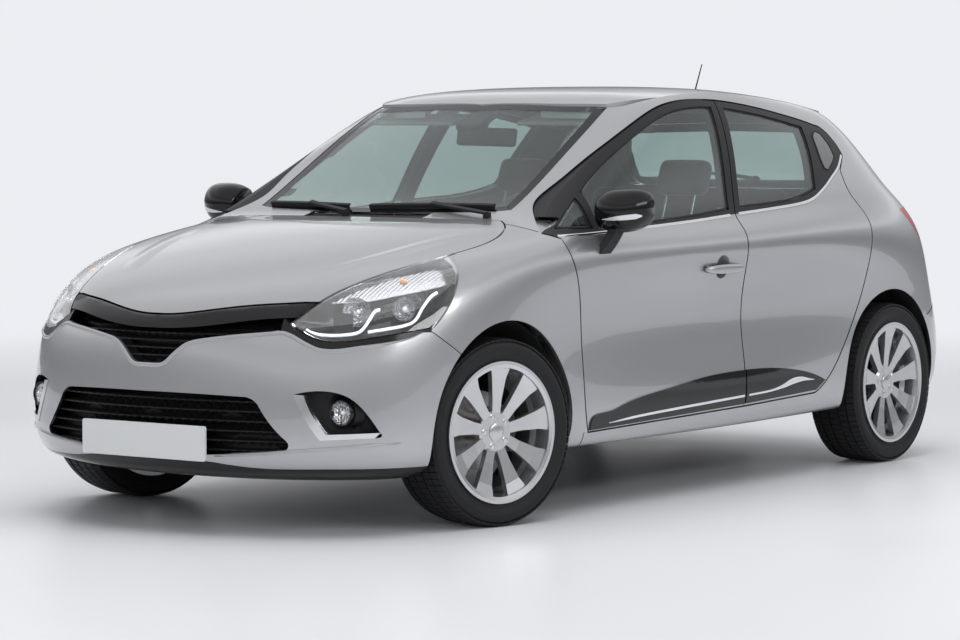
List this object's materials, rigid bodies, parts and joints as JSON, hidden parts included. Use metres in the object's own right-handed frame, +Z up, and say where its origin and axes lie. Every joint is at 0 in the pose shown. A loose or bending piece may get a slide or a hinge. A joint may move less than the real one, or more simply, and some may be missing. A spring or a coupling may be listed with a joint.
{
  "type": "hatchback car",
  "caption": "Small five-door hatchback car with opening doors, bonnet and tailgate, steered front wheels and a cabin with seats.",
  "frame": {"origin": "on the ground, midway along the length and the width of the car", "axes": "+X to the car's left, +Y to its rear, +Z up; the front faces -Y"},
  "size_m": [1.9486, 4.0197, 1.5477],
  "materials": {
    "body_paint": "metallic lacquer",
    "black_gloss": "gloss",
    "black_matt": "fine grain",
    "window_glass": "tinted",
    "clear_lens": "clear",
    "red_lens": "gloss",
    "bright_trim": "polished",
    "alloy": "lacquered",
    "tyre_rubber": "moulded",
    "disc_iron": "turned",
    "chassis_iron": "coated",
    "underbody": "underseal",
    "exhaust_steel": "dull",
    "seat_fabric": "woven",
    "cabin_plastic": "grained",
    "plate_plastic": "blank",
    "engine_metal": "cast"
  },
  "bodies": {
    "body": {"wings": "body_paint", "front_bumper": "body_paint", "rear_bumper": "body_paint", "roof_panel": "body_paint", "bodyside_left": "body_paint", "bodyside_right": "body_paint", "windscreen": "window_glass", "headlamp_lenses": "clear_lens", "tail_lamps": "red_lens", "front_grilles": "black_gloss", "headlamp_units": "black_gloss", "fog_lamps": "black_matt", "cowl": "black_matt", "wipers": "black_matt", "aerial": "black_matt", "arch_liners": "black_matt", "cooling_pack": "black_matt", "fog_trims": "bright_trim", "front_plate": "plate_plastic", "suspension": "chassis_iron", "platform": "underbody", "exhaust": "exhaust_steel", "engine_block": "engine_metal", "front_seats": "seat_fabric", "rear_bench": "seat_fabric", "dashboard": "cabin_plastic", "steering_wheel": "cabin_plastic"},
    "knuckle_left": {"knuckle_left": "chassis_iron"},
    "knuckle_right": {"knuckle_right": "chassis_iron"},
    "wheel_front_left": {"tyre_front_left": "tyre_rubber", "rim_front_left": "alloy", "brake_disc_front_left": "disc_iron"},
    "wheel_front_right": {"tyre_front_right": "tyre_rubber", "rim_front_right": "alloy", "brake_disc_front_right": "disc_iron"},
    "wheel_rear_left": {"tyre_rear_left": "tyre_rubber", "rim_rear_left": "alloy"},
    "wheel_rear_right": {"tyre_rear_right": "tyre_rubber", "rim_rear_right": "alloy"},
    "door_front_left": {"door_front_left": "body_paint", "door_glass_front_left": "window_glass", "door_trim_front_left": "black_gloss", "mirror_left": "black_gloss"},
    "door_front_right": {"door_front_right": "body_paint", "door_glass_front_right": "window_glass", "door_trim_front_right": "black_gloss", "mirror_right": "black_gloss"},
    "door_rear_left": {"door_rear_left": "body_paint", "door_glass_rear_left": "window_glass", "door_trim_rear_left": "black_gloss"},
    "door_rear_right": {"door_rear_right": "body_paint", "door_glass_rear_right": "window_glass", "door_trim_rear_right": "black_gloss"},
    "bonnet": {"bonnet": "body_paint"},
    "tailgate": {"tailgate": "body_paint", "tailgate_glass": "window_glass"}
  },
  "joints": [
    {"name": "steer_left", "type": "hinge", "parent": "body", "child": "knuckle_left", "pos_m": [0.733, -1.187, 0.308], "axis": [0, 0, 1], "range_deg": [-21, 45]},
    {"name": "steer_right", "type": "hinge", "parent": "body", "child": "knuckle_right", "pos_m": [-0.733, -1.187, 0.308], "axis": [0, 0, 1], "range_deg": [-21, 45]},
    {"name": "spin_front_left", "type": "hinge", "parent": "knuckle_left", "child": "wheel_front_left", "pos_m": [0.75256, -1.19116, 0.308], "axis": [0.9781, -0.2079, 0], "continuous": true},
    {"name": "spin_front_right", "type": "hinge", "parent": "knuckle_right", "child": "wheel_front_right", "pos_m": [-0.75256, -1.18284, 0.308], "axis": [0.9781, -0.2079, 0], "continuous": true},
    {"name": "spin_rear_left", "type": "hinge", "parent": "body", "child": "wheel_rear_left", "pos_m": [0.753, 1.402, 0.308], "axis": [1, 0, 0], "continuous": true},
    {"name": "spin_rear_right", "type": "hinge", "parent": "body", "child": "wheel_rear_right", "pos_m": [-0.753, 1.402, 0.308], "axis": [1, 0, 0], "continuous": true},
    {"name": "door_front_left_hinge", "type": "hinge", "parent": "body", "child": "door_front_left", "pos_m": [0.86, -0.8, 0.6], "axis": [0, 0, -1], "range_deg": [0, 65]},
    {"name": "door_front_right_hinge", "type": "hinge", "parent": "body", "child": "door_front_right", "pos_m": [-0.86, -0.8, 0.6], "axis": [0, 0, 1], "range_deg": [0, 65]},
    {"name": "door_rear_left_hinge", "type": "hinge", "parent": "body", "child": "door_rear_left", "pos_m": [0.862, 0.288, 0.6], "axis": [0, 0, -1], "range_deg": [0, 65]},
    {"name": "door_rear_right_hinge", "type": "hinge", "parent": "body", "child": "door_rear_right", "pos_m": [-0.862, 0.288, 0.6], "axis": [0, 0, 1], "range_deg": [0, 65]},
    {"name": "bonnet_hinge", "type": "hinge", "parent": "body", "child": "bonnet", "pos_m": [0, -0.826, 0.996], "axis": [-1, 0, 0], "range_deg": [0, 50]},
    {"name": "tailgate_hinge", "type": "hinge", "parent": "body", "child": "tailgate", "pos_m": [0, 1.462, 1.376], "axis": [1, 0, 0], "range_deg": [0, 80]}
  ],
  "couplings": [
    {"joint": "steer_right", "follows": "steer_left", "ratio": 1}
  ]
}
